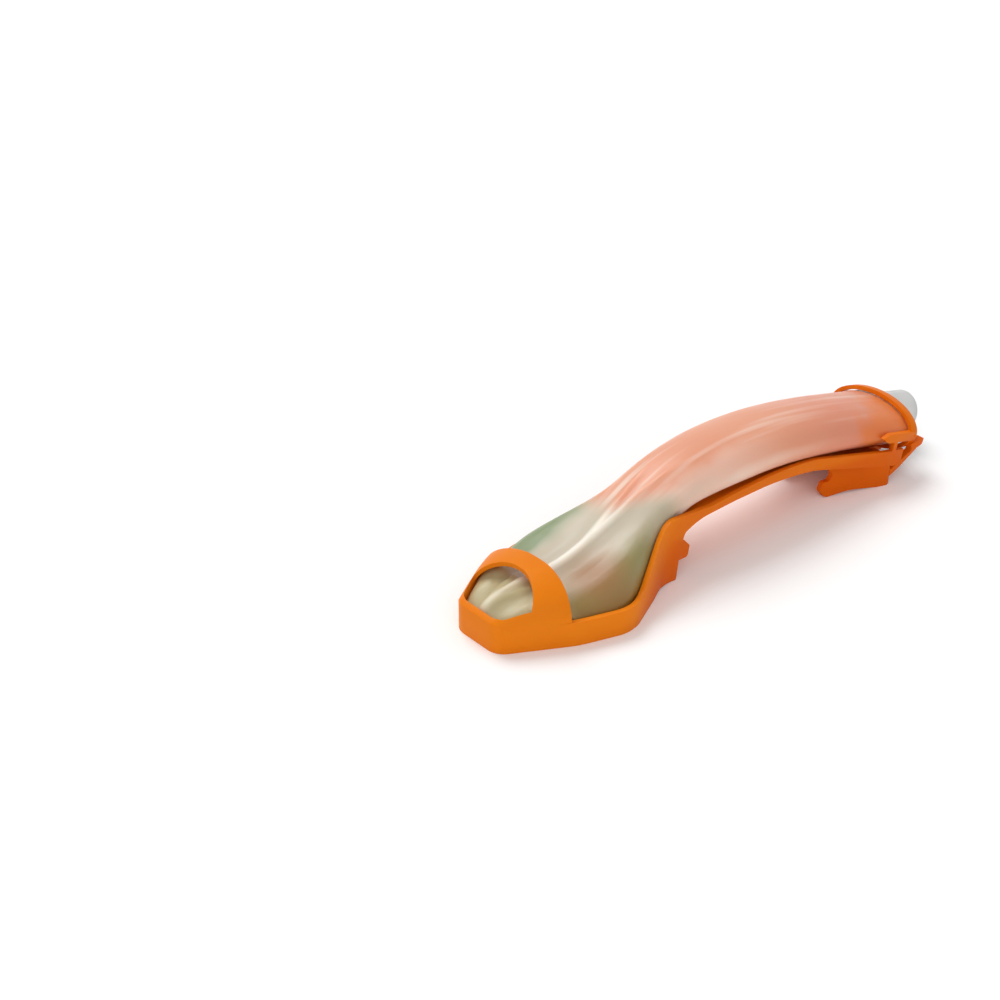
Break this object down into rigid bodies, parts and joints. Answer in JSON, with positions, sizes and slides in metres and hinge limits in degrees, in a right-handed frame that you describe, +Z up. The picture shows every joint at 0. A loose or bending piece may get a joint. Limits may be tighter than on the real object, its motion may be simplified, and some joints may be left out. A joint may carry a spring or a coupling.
{
  "type": "supraglottic airway",
  "caption": "Soft one-piece laryngeal mask airway with an oval stem and a conical connector, lying in its moulded cradle.",
  "frame": {"origin": "under the middle of the whole part, on the surface it stands on", "axes": "+X from the cuff tip to the connector, +Z up, the gastric port on the -Y side"},
  "size_m": [0.2112, 0.0558, 0.0393],
  "materials": {
    "soft_gel": "translucent satin elastomer",
    "clear_plastic": "translucent moulded polypropylene",
    "orange_plastic": "satin moulded polypropylene"
  },
  "bodies": {
    "root": {"airway_body": "soft_gel", "connector": "clear_plastic", "protective_cradle": "orange_plastic"}
  },
  "joints": []
}
